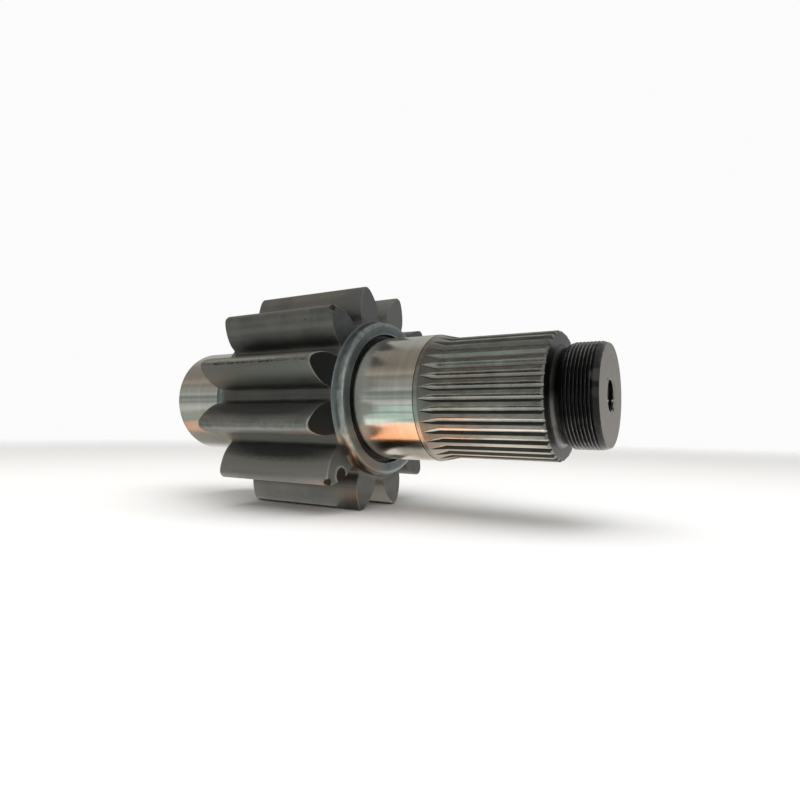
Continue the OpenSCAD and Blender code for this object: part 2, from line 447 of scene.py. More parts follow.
# Undercut between the spline and the thread
neck = {
    "around": 240, "wallR": (34.6, 29.6),
    # Along X from the spline's end, radius, wear
    "undercut": [(0.12, 28.75, 0), (0.45, 28.05, 0), (1.0, 27.5, 0), (1.8, 27.2, 0), (2.8, 27.15, 0),
                 (3.6, 27.3, 0), (4.3, 27.65, 0), (4.9, 28.1, 0), (5.5, 28.55, 0.1)],
}
thread = {
    "outerR": 30.0, "pitch": 2.0, "deep": 1.15, "steps": 12, "crestWear": 9,
    "startX": 125.0, "startR": 28.8, "startSlope": 0.9,
    "leadX": 142.2, "leadFrom": 1.0, "leadOver": 0.9, "leadDrop": 0.3, "leadWear": 0.12,
    "endX": 145.0, "faceR": 28.7, "faceTo": 16.0,
    "leadEdge": (0.3, -0.38, 0.15),  # Along X from leadX, out from outerR, wear
    # Along X from the end, out from faceR, wear
    "bevel": [(-1.2, 0.45, 0.15), (-0.45, 0.2, 0.4), (-0.12, 0, 1.0)],
    "faceEdge": [(0, -0.25, 0.8), (0, -0.9, 0.1)],
}


def makeThreadedEnd(last):
    s, c = neck, thread
    angles = evenAngles(s["around"])
    wallX = spline["endX"]
    last = runPath(last, [(wallX, radius, 0) for radius in s["wallR"]], "blackThread", angles)
    last = runPath(last, placed(s["undercut"], wallX), "neckSteel", angles)
    step = c["pitch"] / c["steps"]
    count = int((c["leadX"] - c["startX"]) / step)
    for k in range(count + 1):
        x = c["startX"] + k * step
        r, crest = helixRadius(x, angles, c["pitch"], c["outerR"], c["deep"], c["startX"])
        startR = c["startR"] + (x - c["startX"]) * c["startSlope"]
        lead = smooth((x - c["leadX"] + c["leadFrom"]) / c["leadOver"])
        r = np.minimum(r, startR) * (1 - lead) + (c["outerR"] - c["leadDrop"]) * lead
        ring = addRing(x, r, angles, (1 - lead) * crest ** c["crestWear"] + c["leadWear"] * lead)
        joinRings(last, ring, "blackThread")
        last = ring
    path = placed([c["leadEdge"]], c["leadX"], c["outerR"]) + placed(c["bevel"], c["endX"], c["faceR"])
    last = runPath(last, path, "blackThread", angles)
    path = placed(c["faceEdge"], c["endX"], c["faceR"]) + [(c["endX"], c["faceTo"], 0)]
    return runPath(last, path, "endFaceSteel", angles)


# Tapped hole in the end face
hole = {
    "wallR": 8.65, "mouthR": 9.6, "nominalR": 10.0, "pitch": 2.5, "deep": 40.0, "turns": 6, "steps": 12,
    "threadFrom": 0.7, "innerWear": 0.4, "bottomSlope": 30, "around": 96,
    # Along X from the end face, out from mouthR or from wallR, wear
    "mouthEdge": [(0, 0.25, 0.2), (-0.2, 0, 0.5)],
    "wallEdge": [(-0.5, 0.2, 0.9), (-0.6, 0.05, 0.4)],
}


def makeEndHole(last):
    s = hole
    angles = evenAngles(s["around"])
    faceX, wallR = thread["endX"], s["wallR"]
    path = placed(s["mouthEdge"], faceX, s["mouthR"]) + placed(s["wallEdge"], faceX, wallR)
    last = runPath(last, path, "endFaceSteel", angles)
    step = s["pitch"] / s["steps"]
    count = s["turns"] * s["steps"]
    for k in range(1, count):
        x = faceX - s["threadFrom"] - k * step
        r, crest = helixRadius(x, angles, s["pitch"], s["nominalR"], s["nominalR"] - wallR, faceX)
        # The thread fades out over its last turn
        r = wallR + (r - wallR) * smooth((count - k) / s["steps"])
        ring = addRing(x, r, angles, s["innerWear"] * (1 - crest))
        joinRings(last, ring, "holeSteel")
        last = ring
    bottomX = faceX - s["deep"]
    last = runPath(last, [(bottomX, wallR, 0)], "holeSteel", angles)
    addTip(bottomX - wallR * math.tan(math.radians(s["bottomSlope"])), last, "holeSteel", False)


# The whole shell, from the rear end to the bottom of the tapped hole
shading = {"sharpAngle": 40, "faceWeight": 60}
makeEndHole(makeThreadedEnd(makeSpline(makeFrontSeat(makeShoulder(makePinion(makeRearEnd()))))))
mesh = bpy.data.meshes.new("pinionShaft")
mesh.from_pydata([[c * mm for c in p] for p in shell["points"]], [], shell["faces"])
mesh.polygons.foreach_set("use_smooth", [True] * len(mesh.polygons))
edgeLayer = mesh.attributes.new("edge", "FLOAT", "POINT")
edgeLayer.data.foreach_set("value", shell["edge"])
mesh.update()
mesh.validate()
mesh.set_sharp_from_angle(angle=math.radians(shading["sharpAngle"]))
shaft = addObject("pinionShaft", mesh)
weighted = shaft.modifiers.new("faceNormals", "WEIGHTED_NORMAL")
weighted.keep_sharp = True
weighted.weight = shading["faceWeight"]
print("shaft mesh:", len(mesh.vertices), "points,", sum(len(f) - 2 for f in shell["faces"]), "triangles")


# Node helpers
def newMaterial(name):
    material = bpy.data.materials.new(name)
    material.use_nodes = True
    tree = material.node_tree
    tree.nodes.clear()
    out = tree.nodes.new("ShaderNodeOutputMaterial")
    shader = tree.nodes.new("ShaderNodeBsdfPrincipled")
    tree.links.new(shader.outputs["BSDF"], out.inputs["Surface"])
    return material, tree, shader


def node(tree, kind, inputs=None, **settings):
    made = tree.nodes.new("ShaderNode" + kind)
    for key, value in settings.items():
        setattr(made, key, value)
    for key, value in (inputs or {}).items():
        if isinstance(value, bpy.types.NodeSocket):
            tree.links.new(value, made.inputs[key])
        else:
            made.inputs[key].default_value = value
    return made


def mathNode(tree, operation, a, b=0.0, clamp=False):
    made = tree.nodes.new("ShaderNodeMath")
    made.operation = operation
    made.use_clamp = clamp
    for i, value in enumerate((a, b)):
        if isinstance(value, bpy.types.NodeSocket):
            tree.links.new(value, made.inputs[i])
        else:
            made.inputs[i].default_value = value
    return made.outputs[0]


def rangeNode(tree, value, fromLow, fromHigh, toLow=0.0, toHigh=1.0):
    made = node(tree, "MapRange", {"Value": value, "From Min": fromLow, "From Max": fromHigh,
                                   "To Min": toLow, "To Max": toHigh})
    made.clamp = True
    return made.outputs["Result"]


def mixColor(tree, factor, a, b, blend="MIX"):
    made = tree.nodes.new("ShaderNodeMix")
    made.data_type = "RGBA"
    made.blend_type = blend
    for key, value in ((0, factor), (6, a), (7, b)):
        if isinstance(value, bpy.types.NodeSocket):
            tree.links.new(value, made.inputs[key])
        elif key == 0:
            made.inputs[key].default_value = value
        else:
            made.inputs[key].default_value = (*value, 1.0)
    return made.outputs[2]


def newGroup(name, inputs, outputs):
    group = bpy.data.node_groups.new(name, "ShaderNodeTree")
    for label, value in inputs.items():
        socket = group.interface.new_socket(name=label, in_out="INPUT", socket_type="NodeSocketFloat")
        socket.default_value = value
    for label in outputs:
        group.interface.new_socket(name=label, in_out="OUTPUT", socket_type="NodeSocketFloat")
    return group, group.nodes.new("NodeGroupInput"), group.nodes.new("NodeGroupOutput")


def axisDistance(tree, split):
    # Distance from the shaft's axis, from a split object position
    flat = node(tree, "CombineXYZ", {1: split.outputs[1], 2: split.outputs[2]}).outputs[0]
    return node(tree, "VectorMath", {0: flat}, operation="LENGTH").outputs["Value"]


def makeToolMarks():
    # Fine lines left by turning, grinding or hobbing. Along is how many there are to a metre
    # along the shaft, Across to a metre sideways, Ring to a metre outwards on an end face.
    group, given, out = newGroup("toolMarks", {"Along": 900.0, "Across": 6.0, "Ring": 0.0},
                                 ["Lines", "Broad"])
    place = node(group, "TexCoord").outputs["Object"]
    split = node(group, "SeparateXYZ", {0: place})
    radius = axisDistance(group, split)
    x = mathNode(group, "MULTIPLY", split.outputs[0], given.outputs["Along"])
    x = mathNode(group, "ADD", x, mathNode(group, "MULTIPLY", radius, given.outputs["Ring"]))
    y = mathNode(group, "MULTIPLY", split.outputs[1], given.outputs["Across"])
    z = mathNode(group, "MULTIPLY", split.outputs[2], given.outputs["Across"])
    where = node(group, "CombineXYZ", {0: x, 1: y, 2: z}).outputs[0]
    fine = node(group, "TexNoise", {"Vector": where, "Scale": 1.0, "Detail": 3.0, "Roughness": 0.6})
    broad = node(group, "TexNoise", {"Vector": where, "Scale": 0.13, "Detail": 2.0, "Roughness": 0.5})
    group.links.new(fine.outputs["Fac"], out.inputs["Lines"])
    group.links.new(broad.outputs["Fac"], out.inputs["Broad"])
    return group


def makeBlotches():
    # Soft uneven patches of oil film and stain, and small dark spots
    group, given, out = newGroup("blotches", {"Scale": 60.0, "Spots": 500.0, "SpotShare": 0.08},
                                 ["Patches", "Spots"])
    place = node(group, "TexCoord").outputs["Object"]
    patches = node(group, "TexNoise", {"Vector": place, "Scale": given.outputs["Scale"], "Detail": 5.0,
                                       "Roughness": 0.62, "Distortion": 0.6})
    cells = node(group, "TexVoronoi", {"Vector": place, "Scale": given.outputs["Spots"], "Randomness": 1.0})
    sizes = node(group, "TexNoise", {"Vector": place, "Scale": 90.0, "Detail": 2.0})
    spotSize = rangeNode(group, sizes.outputs["Fac"], 0.5, 0.8, toHigh=0.34)
    near = mathNode(group, "SUBTRACT", spotSize, cells.outputs["Distance"])
    spots = rangeNode(group, mathNode(group, "ADD", near, given.outputs["SpotShare"]), 0.0, 0.08)
    group.links.new(patches.outputs["Fac"], out.inputs["Patches"])
    group.links.new(spots, out.inputs["Spots"])
    return group


def makeEdgeWear():
    # Bright rubbed edges, from the edge value that the mesh carries
    group, given, out = newGroup("edgeWear", {"Amount": 0.6, "Scale": 220.0}, ["Worn"])
    place = node(group, "TexCoord").outputs["Object"]
    edge = node(group, "Attribute", attribute_name="edge").outputs["Fac"]
    broken = node(group, "TexNoise", {"Vector": place, "Scale": given.outputs["Scale"], "Detail": 4.0,
                                      "Roughness": 0.65}).outputs["Fac"]
    worn = mathNode(group, "MULTIPLY", edge, rangeNode(group, broken, 0.3, 0.62))
    group.links.new(mathNode(group, "MULTIPLY", worn, given.outputs["Amount"], True), out.inputs["Worn"])
    return group


def makeDarkZone():
    # A factor that goes from At Low to At High between two measures in metres. The measure is
    # the distance from the axis times Radius, plus the height times Height, plus the distance
    # from the level of the axis times Middle. Its border is ragged by 2 mm.
    group, given, out = newGroup("darkZone", {"Radius": 1.0, "Height": 0.0, "Middle": 0.0, "Low": 0.0,
                                              "High": 1.0, "At Low": 0.0, "At High": 1.0}, ["Shade"])
    place = node(group, "TexCoord").outputs["Object"]
    split = node(group, "SeparateXYZ", {0: place})
    height = split.outputs[2]
    measure = mathNode(group, "ADD", mathNode(group, "MULTIPLY", axisDistance(group, split),
                                              given.outputs["Radius"]),
                       mathNode(group, "MULTIPLY", height, given.outputs["Height"]))
    fromLevel = mathNode(group, "MULTIPLY", mathNode(group, "ABSOLUTE", height), given.outputs["Middle"])
    measure = mathNode(group, "ADD", measure, fromLevel)
    broken = node(group, "TexNoise", {"Vector": place, "Scale": 60.0, "Detail": 3.0}).outputs["Fac"]
    ragged = rangeNode(group, broken, 0.0, 1.0, -0.002, 0.002)
    shade = node(group, "MapRange", {"Value": mathNode(group, "ADD", measure, ragged),
                                     "From Min": given.outputs["Low"], "From Max": given.outputs["High"],
                                     "To Min": given.outputs["At Low"], "To Max": given.outputs["At High"]})
    group.links.new(shade.outputs["Result"], out.inputs["Shade"])
    return group


def makeMarkSpot():
    # A single mark, or a patch of painted light or shade, at a place on the shaft, with an edge
    # ragged by 0.6 mm. Size and Soft are in metres; Length stretches the mark along the shaft.
    group, given, out = newGroup("markSpot", {"X": 0.0, "Y": 0.0, "Z": 0.0, "Size": 0.003, "Soft": 0.001,
                                              "Length": 1.0}, ["Mask"])
    place = node(group, "TexCoord").outputs["Object"]
    middle = node(group, "CombineXYZ", {i: given.outputs[key] for i, key in enumerate("XYZ")}).outputs[0]
    offset = node(group, "VectorMath", {0: place, 1: middle}, operation="SUBTRACT").outputs["Vector"]
    scale = node(group, "CombineXYZ", {0: given.outputs["Length"], 1: 1.0, 2: 1.0}).outputs[0]
    offset = node(group, "VectorMath", {0: offset, 1: scale}, operation="DIVIDE").outputs["Vector"]
    away = node(group, "VectorMath", {0: offset}, operation="LENGTH").outputs["Value"]
    broken = node(group, "TexNoise", {"Vector": place, "Scale": 420.0, "Detail": 3.0}).outputs["Fac"]
    away = mathNode(group, "ADD", away, rangeNode(group, broken, 0.2, 0.8, -0.0006, 0.0006))
    outer = mathNode(group, "ADD", given.outputs["Size"], given.outputs["Soft"])
    mask = node(group, "MapRange", {"Value": away, "From Min": given.outputs["Size"], "From Max": outer,
                                    "To Min": 1.0, "To Max": 0.0})
    group.links.new(mask.outputs["Result"], out.inputs["Mask"])
    return group


groups = {"toolMarks": makeToolMarks(), "blotches": makeBlotches(), "edgeWear": makeEdgeWear(),
          "darkZone": makeDarkZone(), "markSpot": makeMarkSpot()}

# Single marks, and patches of painted light and shade: place, size and softness in metres, stretch along
# the shaft, colour
# Painted light and shade on the tooth flanks: lighter and darker patches, and a thin painted highlight with
# a dark painted line along one tip
flankPaintedLight = [
    ((-0.0520, -0.0700, 0.0130), 0.0050, 0.0080, 5.5, (0.100, 0.098, 0.087)),
    ((-0.0500, -0.0540, -0.0420), 0.0060, 0.0080, 7.0, (0.170, 0.166, 0.150)),
    ((-0.0150, 0.0040, -0.0600), 0.0100, 0.0060, 1.5, (0.170, 0.158, 0.148)),
    ((-0.0500, -0.0655, -0.0085), 0.0040, 0.0060, 8.0, (0.046, 0.046, 0.043)),
    ((-0.0500, -0.0500, -0.0350), 0.0030, 0.0045, 8.0, (0.050, 0.050, 0.046)),
    ((-0.0600, -0.0545, -0.0540), 0.0025, 0.0040, 9.0, (0.102, 0.099, 0.092)),
    ((-0.0620, -0.0719, 0.0213), 0.0009, 0.0007, 32.0, (0.245, 0.240, 0.218)),
    ((-0.0620, -0.0725, 0.0190), 0.0001, 0.0006, 90.0, (0.042, 0.040, 0.036)),
]
toothNicksAndPaintedLight = [
    # Painted light on the two upper tooth ends at the front face; the other marks are nicks and pits
    ((-0.0065, 0.0170, 0.0640), 0.0140, 0.0060, 1.0, (0.130, 0.130, 0.123)),
    ((-0.0065, -0.0170, 0.0640), 0.0120, 0.0060, 1.0, (0.105, 0.107, 0.105)),
    ((-0.0065, -0.0525, 0.0525), 0.0018, 0.0006, 1.0, (0.035, 0.033, 0.030)),
    ((-0.0065, -0.0530, -0.0530), 0.0026, 0.0008, 1.0, (0.030, 0.028, 0.026)),
    ((-0.0065, -0.0412, -0.0486), 0.0050, 0.0012, 1.0, (0.160, 0.157, 0.148)),
    ((-0.0065, -0.0408, -0.0486), 0.0040, 0.0008, 1.0, (0.030, 0.029, 0.027)),
    ((-0.0840, -0.0702, -0.0201), 0.0010, 0.0008, 1.0, (0.040, 0.038, 0.035)),
    ((-0.0130, -0.0270, -0.0677), 0.0008, 0.0006, 1.0, (0.300, 0.300, 0.290)),
]
threadMarks = [
    ((0.1410, -0.0150, 0.0259), 0.0020, 0.0012, 1.0, (0.050, 0.050, 0.048)),
    ((0.1428, -0.0284, 0.0092), 0.0026, 0.0014, 1.0, (0.050, 0.046, 0.046)),
    ((0.1435, -0.0296, 0.0000), 0.0018, 0.0014, 1.0, (0.030, 0.028, 0.030)),
]
marksOf = {
    "toothSteel": flankPaintedLight + toothNicksAndPaintedLight, "toothEndSteel": toothNicksAndPaintedLight, "blackThread": threadMarks,
    # On the collar: a painted warm reflection low in front, and painted shade on the rim beside it
    "collarSteel": [((0.0, -0.0200, -0.0410), 0.0080, 0.0120, 1.0, (0.130, 0.110, 0.095)),
                    ((-0.0075, -0.0400, -0.0340), 0.0040, 0.0035, 1.0, (0.045, 0.043, 0.040))],
    # On the spline: a painted highlight low in front
    "splineSteel": [((0.0800, -0.0190, -0.0320), 0.0060, 0.0080, 7.0, (0.290, 0.280, 0.260))],
    "holeSteel": [((0.1433, 0.0086, -0.0024), 0.0005, 0.0004, 4.0, (0.60, 0.59, 0.56))],
    "endFaceSteel": [((0.1450, -0.0086, 0.0083), 0.0007, 0.0005, 1.0, (0.06, 0.056, 0.05)),
                     ((0.1448, 0.0060, -0.0072), 0.0009, 0.0006, 1.0, (0.05, 0.047, 0.043))],
}


def useGroup(tree, name, values):
    made = tree.nodes.new("ShaderNodeGroup")
    made.node_tree = groups[name]
    for key, value in values.items():
        made.inputs[key].default_value = value
    return made.outputs


# Each finish has its tones, its least and most roughness, and its tool marks, patches and spots
# to a metre. Zones of painted shade and light are (from, to, factor), the painted edge shade is
# (from, to) and the painted glow is (from, to, colour), with from and to in metres. What a finish
# doesn't say is as in commonFinish.
commonFinish = {"metal": 0.9, "ring": 0.0, "bump": 0.12, "patch": 60.0, "spots": 300.0, "spotShare": -0.08}
finishes = {
    "groundSteel": {
        "dark": (0.34, 0.335, 0.308), "light": (0.45, 0.445, 0.41), "spot": (0.16, 0.12, 0.08),
        "metal": 1.0, "rough": (0.125, 0.165), "along": 1400.0, "across": 5.0, "bump": 0.02,
        "patch": 45.0, "spots": 420.0, "spotShare": -0.05, "wear": 0.2, "wearColor": (0.7, 0.69, 0.66),
        "anisotropy": 1.0,
    },
    "toothSteel": {
        "dark": (0.080, 0.083, 0.078), "light": (0.150, 0.144, 0.128), "spot": (0.02, 0.018, 0.016),
        "metal": 0.6, "rough": (0.44, 0.58), "along": 8.0, "across": 1500.0, "bump": 0.10,
        "patch": 38.0, "spots": 260.0, "wear": 0.7, "wearColor": (0.34, 0.335, 0.32),
        # Painted shade: root darkens the teeth towards the roots, where shade falls between them, and land
        # takes part of it off the floors between the teeth; the edges high on the shaft get painted dark
        # lines
        "root": (0.056, 0.068, 0.32), "land": (0.0533, 0.0550, 2.0), "paintedEdgeShade": (0.030, 0.040),
    },
    # Painted shade darkens the tooth ends level with the axis, where the collar shades them; a painted
    # glow, seen only in reflections, lights them there again
    "toothEndSteel": {
        "dark": (0.056, 0.060, 0.060), "light": (0.098, 0.100, 0.093), "spot": (0.012, 0.011, 0.010),
        "metal": 0.95, "rough": (0.32, 0.44), "along": 0.0, "across": 6.0, "ring": 900.0, "bump": 0.10,
        "spots": 260.0, "wear": 0.8, "wearColor": (0.40, 0.39, 0.37), "middle": (0.026, 0.044, 0.24),
        "paintedGlow": (0.030, 0.045, (0.38, 0.40, 0.37)),
    },
    # Its rubbed edges are partly a painted highlight, brightest on the recess edge; a painted glow, seen
    # only in reflections, lights its face level with the axis
    "collarSteel": {
        "dark": (0.066, 0.084, 0.085), "light": (0.140, 0.160, 0.156), "spot": (0.03, 0.028, 0.025),
        "rough": (0.26, 0.40), "along": 900.0, "across": 6.0, "ring": 900.0, "bump": 0.10, "wear": 0.6,
        "wearColor": (0.6, 0.61, 0.60), "paintedGlow": (0.030, 0.045, (0.28, 0.295, 0.28)),
    },
    "bandSteel": {
        "dark": (0.135, 0.142, 0.127), "light": (0.26, 0.26, 0.235), "spot": (0.05, 0.045, 0.04),
        "metal": 1.0, "rough": (0.20, 0.34), "along": 900.0, "across": 8.0, "patch": 80.0,
        "spots": 380.0, "spotShare": -0.06, "wear": 0.35, "wearColor": (0.6, 0.59, 0.56),
    },
    # Painted light makes the top of the spline lighter
    "splineSteel": {
        "dark": (0.072, 0.075, 0.067), "light": (0.160, 0.160, 0.146), "spot": (0.03, 0.027, 0.024),
        "metal": 0.95, "rough": (0.30, 0.44), "along": 700.0, "across": 10.0, "spotShare": -0.06,
        "wear": 0.3, "wearColor": (0.36, 0.355, 0.33), "paintedTop": (0.027, 0.034, 2.1), "dullEdge": 0.3,
    },
    # Painted shade makes the grooves darker high on the spline
    "grooveSteel": {
        "dark": (0.17, 0.173, 0.162), "light": (0.41, 0.40, 0.375), "spot": (0.05, 0.045, 0.04),
        "metal": 1.0, "rough": (0.2, 0.34), "along": 10.0, "across": 1800.0, "patch": 50.0,
        "spotShare": -0.06, "wear": 0.2, "wearColor": (0.6, 0.58, 0.54), "paintedTop": (0.015, 0.026, 0.4),
        "dullEdge": 0.35,
    },
    # Painted shade: the lower flank of each spline groove, a dark copy of the groove steel
    "darkFlank": {
        "dark": (0.016, 0.016, 0.013), "light": (0.040, 0.039, 0.034), "spot": (0.01, 0.009, 0.008),
        "metal": 0.7, "rough": (0.34, 0.5), "along": 10.0, "across": 1800.0, "bump": 0.10,
        "patch": 80.0, "spotShare": -0.06, "wear": 0.0, "wearColor": (0.3, 0.29, 0.27),
    },
    # Painted shade makes the neck darker above the level of the axis
    "neckSteel": {
        "dark": (0.060, 0.061, 0.056), "light": (0.150, 0.148, 0.138), "spot": (0.01, 0.01, 0.01),
        "rough": (0.28, 0.4), "along": 1200.0, "across": 8.0, "bump": 0.08, "patch": 80.0,
        "spots": 400.0, "wear": 0.3, "wearColor": (0.2, 0.2, 0.19), "paintedTop": (-0.010, 0.002, 0.12),
    },
    # Painted shade makes the thread darker level with the axis
    "blackThread": {
        "dark": (0.006, 0.006, 0.007), "light": (0.016, 0.016, 0.017), "spot": (0.004, 0.004, 0.004),
        "metal": 0.6, "rough": (0.24, 0.36), "along": 1500.0, "across": 8.0, "ring": 1500.0,
        "bump": 0.06, "patch": 80.0, "spots": 400.0, "wear": 0.6, "wearColor": (0.27, 0.27, 0.26),
        "middle": (0.012, 0.021, 0.14),
    },
    "endFaceSteel": {
        "dark": (0.146, 0.133, 0.115), "light": (0.205, 0.188, 0.163), "spot": (0.09, 0.08, 0.07),
        "metal": 0.6, "rough": (0.38, 0.5), "along": 0.0, "across": 12.0, "ring": 1800.0, "patch": 90.0,
        "spots": 420.0, "spotShare": -0.07, "wear": 0.35, "wearColor": (0.4, 0.38, 0.35),
    },
    # Painted shade: near-black steel in the holes and the seat's stop groove, where shade falls
    "holeSteel": {
        "dark": (0.012, 0.012, 0.012), "light": (0.035, 0.034, 0.032), "spot": (0.008, 0.008, 0.008),
        "rough": (0.3, 0.5), "along": 1200.0, "across": 20.0, "bump": 0.1, "patch": 120.0,
        "spots": 500.0, "wear": 0.4, "wearColor": (0.2, 0.19, 0.18),
    },
    "rearFaceSteel": {
        "dark": (0.20, 0.198, 0.185), "light": (0.34, 0.335, 0.31), "spot": (0.08, 0.07, 0.06),
        "metal": 0.95, "rough": (0.3, 0.44), "along": 0.0, "across": 12.0, "ring": 1500.0, "bump": 0.14,
        "patch": 70.0, "spots": 420.0, "spotShare": -0.06, "wear": 0.4, "wearColor": (0.5, 0.49, 0.46),
    },
}


def zone(kind, low, high, atLow, atHigh):
    # Settings of darkZone that measure the distance from the axis ("Radius"), the height
    # ("Height") or the distance from the level of the axis ("Middle")
    values = {"Radius": 0.0, "Low": low, "High": high, "At Low": atLow, "At High": atHigh}
    values[kind] = 1.0
    return values


def zonesOf(s):
    # Painted shade and light: root darkens what is near the axis, middle what is level with it, the
    # top zone makes what lies high lighter or darker, and land brightens the floors between the teeth,
    # taking back part of the root shade
    zones = []
    for key, kind in (("root", "Radius"), ("middle", "Middle")):
        if key in s:
            low, high, factor = s[key]
            zones.append(zone(kind, low, high, factor, 1.0))
    if "paintedTop" in s:
        low, high, factor = s["paintedTop"]
        zones.append(zone("Height", low, high, 1.0, factor))
    if "land" in s:
        low, high, factor = s["land"]
        zones.append(zone("Radius", low, high, factor, 1.0))
    return zones


# How every finish mixes its tool marks and blotches, and how deep the marks are
mixing = {
    "marksInTone": 0.45, "toneRange": (0.36, 0.64), "marksInRough": 0.4, "roughRange": (0.35, 0.65),
    "markDepth": 0.0002,
    "darkTint": 0.1, "dullBy": 0.5,  # a single mark darker than this is dull as well
}


def mixedMarks(tree, share, marks, blotches):
    return mathNode(tree, "ADD", mathNode(tree, "MULTIPLY", marks, share),
                    mathNode(tree, "MULTIPLY", blotches, 1 - share))


def finishColor(tree, s, marks, blotch):
    tone = mixedMarks(tree, mixing["marksInTone"], marks["Broad"], blotch["Patches"])
    tone = rangeNode(tree, tone, *mixing["toneRange"])
    color = mixColor(tree, tone, s["dark"], s["light"])
    color = mixColor(tree, blotch["Spots"], color, s["spot"])
    worn = useGroup(tree, "edgeWear", {"Amount": s["wear"]})["Worn"]
    if "paintedEdgeShade" in s:
        # Painted shade: edges high on the shaft as it rests are painted as dark lines, the lower ones are
        # rubbed bright
        raised = useGroup(tree, "darkZone", zone("Height", *s["paintedEdgeShade"], 0.0, 1.0))["Shade"]
        shadedEdges = mathNode(tree, "MULTIPLY", worn, raised)
        color = mixColor(tree, shadedEdges, color, s["spot"])
        worn = mathNode(tree, "SUBTRACT", worn, shadedEdges)
    color = mixColor(tree, worn, color, s["wearColor"])
    for settings in zonesOf(s):
        color = mixColor(tree, 1.0, color, useGroup(tree, "darkZone", settings)["Shade"], "MULTIPLY")
    return color


def addMarks(tree, marks, color, rough):
    for place, size, soft, long, tint in marks:
        mask = useGroup(tree, "markSpot", {"X": place[0], "Y": place[1], "Z": place[2],
                                           "Size": size, "Soft": soft, "Length": long})["Mask"]
        color = mixColor(tree, mask, color, tint)
        if max(tint) < mixing["darkTint"]:
            dull = mathNode(tree, "MULTIPLY", mask, mixing["dullBy"])
            rough = mathNode(tree, "ADD", rough, dull, True)
    return color, rough


def addPaintedGlow(tree, shader, low, high, tint):
    # Painted glow: level with the axis this face glows, seen only in reflections, so the ground seat shows
    # it lighter there
    seen = node(tree, "LightPath").outputs["Is Glossy Ray"]
    level = useGroup(tree, "darkZone", zone("Middle", low, high, 1.0, 0.0))["Shade"]
    glow = mixColor(tree, mathNode(tree, "MULTIPLY", seen, level), (0.0, 0.0, 0.0), tint)
    tree.links.new(glow, shader.inputs["Emission Color"])
    shader.inputs["Emission Strength"].default_value = 1.0


def makeFinish(name, s):
    material, tree, shader = newMaterial(name)
    marks = useGroup(tree, "toolMarks", {"Along": s["along"], "Across": s["across"], "Ring": s["ring"]})
    blotch = useGroup(tree, "blotches", {"Scale": s["patch"], "Spots": s["spots"],
                                         "SpotShare": s["spotShare"]})
    color = finishColor(tree, s, marks, blotch)
    rough = mixedMarks(tree, mixing["marksInRough"], marks["Lines"], blotch["Patches"])
    rough = rangeNode(tree, rough, *mixing["roughRange"], *s["rough"])
    color, rough = addMarks(tree, marksOf.get(name, []), color, rough)
    if "dullEdge" in s:
        edge = node(tree, "Attribute", attribute_name="edge").outputs["Fac"]
        rough = mathNode(tree, "ADD", rough, mathNode(tree, "MULTIPLY", edge, s["dullEdge"]), True)
    if "paintedGlow" in s:
        addPaintedGlow(tree, shader, *s["paintedGlow"])
    tree.links.new(color, shader.inputs["Base Color"])
    tree.links.new(rough, shader.inputs["Roughness"])
    shader.inputs["Metallic"].default_value = s["metal"]
    if "anisotropy" in s:
        # Grinding runs round the shaft, so the sheen spreads along it
        shader.inputs["Anisotropic"].default_value = s["anisotropy"]
        shader.inputs["Anisotropic Rotation"].default_value = 0.25
        tangent = node(tree, "Tangent", direction_type="RADIAL", axis="X")
        tree.links.new(tangent.outputs["Tangent"], shader.inputs["Tangent"])
    bump = node(tree, "Bump", {"Strength": s["bump"], "Distance": mixing["markDepth"],
                               "Height": marks["Lines"]})
    tree.links.new(bump.outputs["Normal"], shader.inputs["Normal"])
    return material


for name, settings in finishes.items():
    mesh.materials.append(makeFinish(name, {**commonFinish, **settings}))
finishOf = {name: i for i, name in enumerate(finishes)}
mesh.polygons.foreach_set("material_index", [finishOf[name] for name in shell["finish"]])
print("finishes made:", len(finishes))

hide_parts("rear_journal", "pinion", "front_shaft")
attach(shaft, "root")

# Camera, from the fit to the photograph: place in millimetres, yaw, pitch and roll in radians,
# lift in degrees about X, focal length, centre and frame in pixels, clip in metres
view = {
    "place": (207.63, -308.69, -18.99), "lift": 3.52, "yaw": -0.5067, "pitch": -0.0012, "roll": -0.014,
    "focal": 552.93, "centre": (436.12, 398.66), "frame": 800.0, "sensor": 36.0,
    "clip": (0.01, 20.0),
}


def makeCamera():
    s = view
    yaw, pitch, roll = s["yaw"], s["pitch"], s["roll"]
    forward = Vector((math.sin(yaw) * math.cos(pitch), math.cos(yaw) * math.cos(pitch), math.sin(pitch)))
    flat = Vector((math.cos(yaw), -math.sin(yaw), 0.0))
    upright = flat.cross(forward)
    right = math.cos(roll) * flat + math.sin(roll) * upright
    up = -math.sin(roll) * flat + math.cos(roll) * upright
    turn = Matrix.Rotation(math.radians(s["lift"]), 3, "X")
    right, up, forward = turn @ right, turn @ up, turn @ forward
    data = bpy.data.cameras.new("photoCamera")
    data.sensor_width = s["sensor"]
    data.lens = s["focal"] * s["sensor"] / s["frame"]
    data.shift_x = (s["frame"] / 2 - s["centre"][0]) / s["frame"]
    data.shift_y = (s["centre"][1] - s["frame"] / 2) / s["frame"]
    data.clip_start, data.clip_end = s["clip"]
    camera = addObject("photoCamera", data)
    axes = Matrix((right, up, -forward)).transposed().to_4x4()
    camera.matrix_world = Matrix.Translation(Vector(s["place"]) * mm) @ axes
    bpy.context.scene.camera = camera


makeCamera()

# Floor; heights are in millimetres, the other lengths in metres
studio = {
    "floorZ": -72.85, "cardZ": -71.6, "radius": 2.4, "fadeFrom": 0.55, "fadeTo": 0.8, "rimPoints": 96,
    "floorColor": (0.87, 0.87, 0.87), "grain": 0.985,
}


